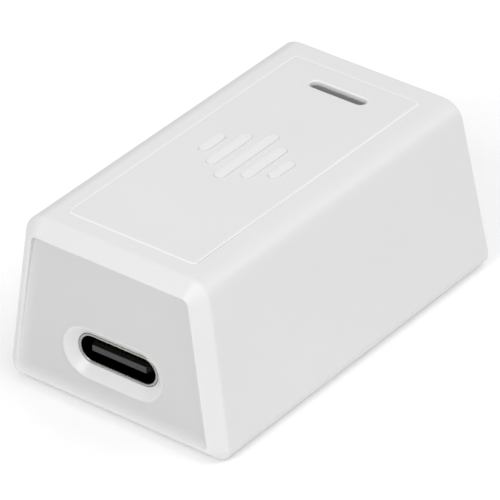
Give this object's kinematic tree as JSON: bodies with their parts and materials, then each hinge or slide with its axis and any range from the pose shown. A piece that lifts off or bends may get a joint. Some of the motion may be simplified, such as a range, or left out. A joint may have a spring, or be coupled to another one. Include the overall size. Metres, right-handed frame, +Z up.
{
  "type": "bluetooth audio receiver",
  "caption": "Compact drafted plastic box with a USB-C inlet in front, a light slot in its top inlay, and an audio jack with a pairing button at the rear.",
  "frame": {"origin": "centre of the bounding box's bottom, on the plane that the foot pad rests on", "axes": "+Z up, +Y from the USB-C face towards the rear face, +X to the right when facing the USB-C side"},
  "size_m": [0.0246, 0.0414, 0.0182],
  "materials": {
    "case_abs": "fine satin texture",
    "panel_abs": "fine satin texture",
    "inlay_abs": "fine satin texture",
    "adhesive": "tacky film",
    "smoked_lens": "satin",
    "clear_acrylic": "polished",
    "led_epoxy": "clear epoxy",
    "silicone": "matte",
    "zinc_steel": "zinc plated",
    "fr4_board": "solder mask",
    "nickel_shell": "nickel plated",
    "nickel_bushing": "bright nickel",
    "black_polymer": "moulded",
    "gold_contact": "gold plated",
    "tinned_lead": "tinned",
    "chip_epoxy": "moulded epoxy",
    "ferrite": "ground",
    "tantalum_case": "moulded epoxy",
    "capacitor_ceramic": "fired",
    "resistor_ceramic": "fired",
    "antenna_ceramic": "fired"
  },
  "bodies": {
    "case": {"upper_shell": "case_abs", "front_panel": "panel_abs", "top_inlay": "inlay_abs", "inlay_symbol": "inlay_abs", "inlay_adhesive": "adhesive", "indicator_lens": "smoked_lens", "light_guide": "clear_acrylic", "status_led": "led_epoxy", "rear_panel": "panel_abs", "bottom_cover": "case_abs", "foot_pad": "silicone", "case_screws": "zinc_steel", "circuit_board": "fr4_board", "board_screws": "zinc_steel", "usb_shell": "nickel_shell", "usb_insulator": "black_polymer", "usb_tongue": "black_polymer", "usb_contacts": "gold_contact", "usb_mid_plate": "nickel_shell", "jack_body": "black_polymer", "jack_bushing": "nickel_bushing", "jack_tip_spring": "gold_contact", "jack_ring_spring": "gold_contact", "jack_sleeve_contact": "gold_contact", "jack_pins": "tinned_lead", "switch_base": "black_polymer", "switch_cover": "nickel_shell", "switch_dome": "nickel_shell", "switch_pads": "tinned_lead", "bluetooth_chip": "chip_epoxy", "shield_frame": "nickel_shell", "shield_can": "nickel_shell", "flash_memory": "chip_epoxy", "crystal": "nickel_shell", "audio_dac": "chip_epoxy", "audio_dac_leads": "tinned_lead", "power_regulator": "chip_epoxy", "power_regulator_leads": "tinned_lead", "power_inductor": "ferrite", "tantalum_capacitors": "tantalum_case", "ceramic_capacitors": "capacitor_ceramic", "resistors": "resistor_ceramic", "esd_diodes": "chip_epoxy", "chip_antenna": "antenna_ceramic"},
    "button": {"pairing_button": "panel_abs", "switch_plunger": "black_polymer"}
  },
  "joints": [
    {"name": "button_press", "type": "slide", "parent": "case", "child": "button", "axis": [0, -1, 0], "range_m": [0, 0.00025], "stiffness_N_per_m": 2000, "springref_m": -0.0005}
  ]
}
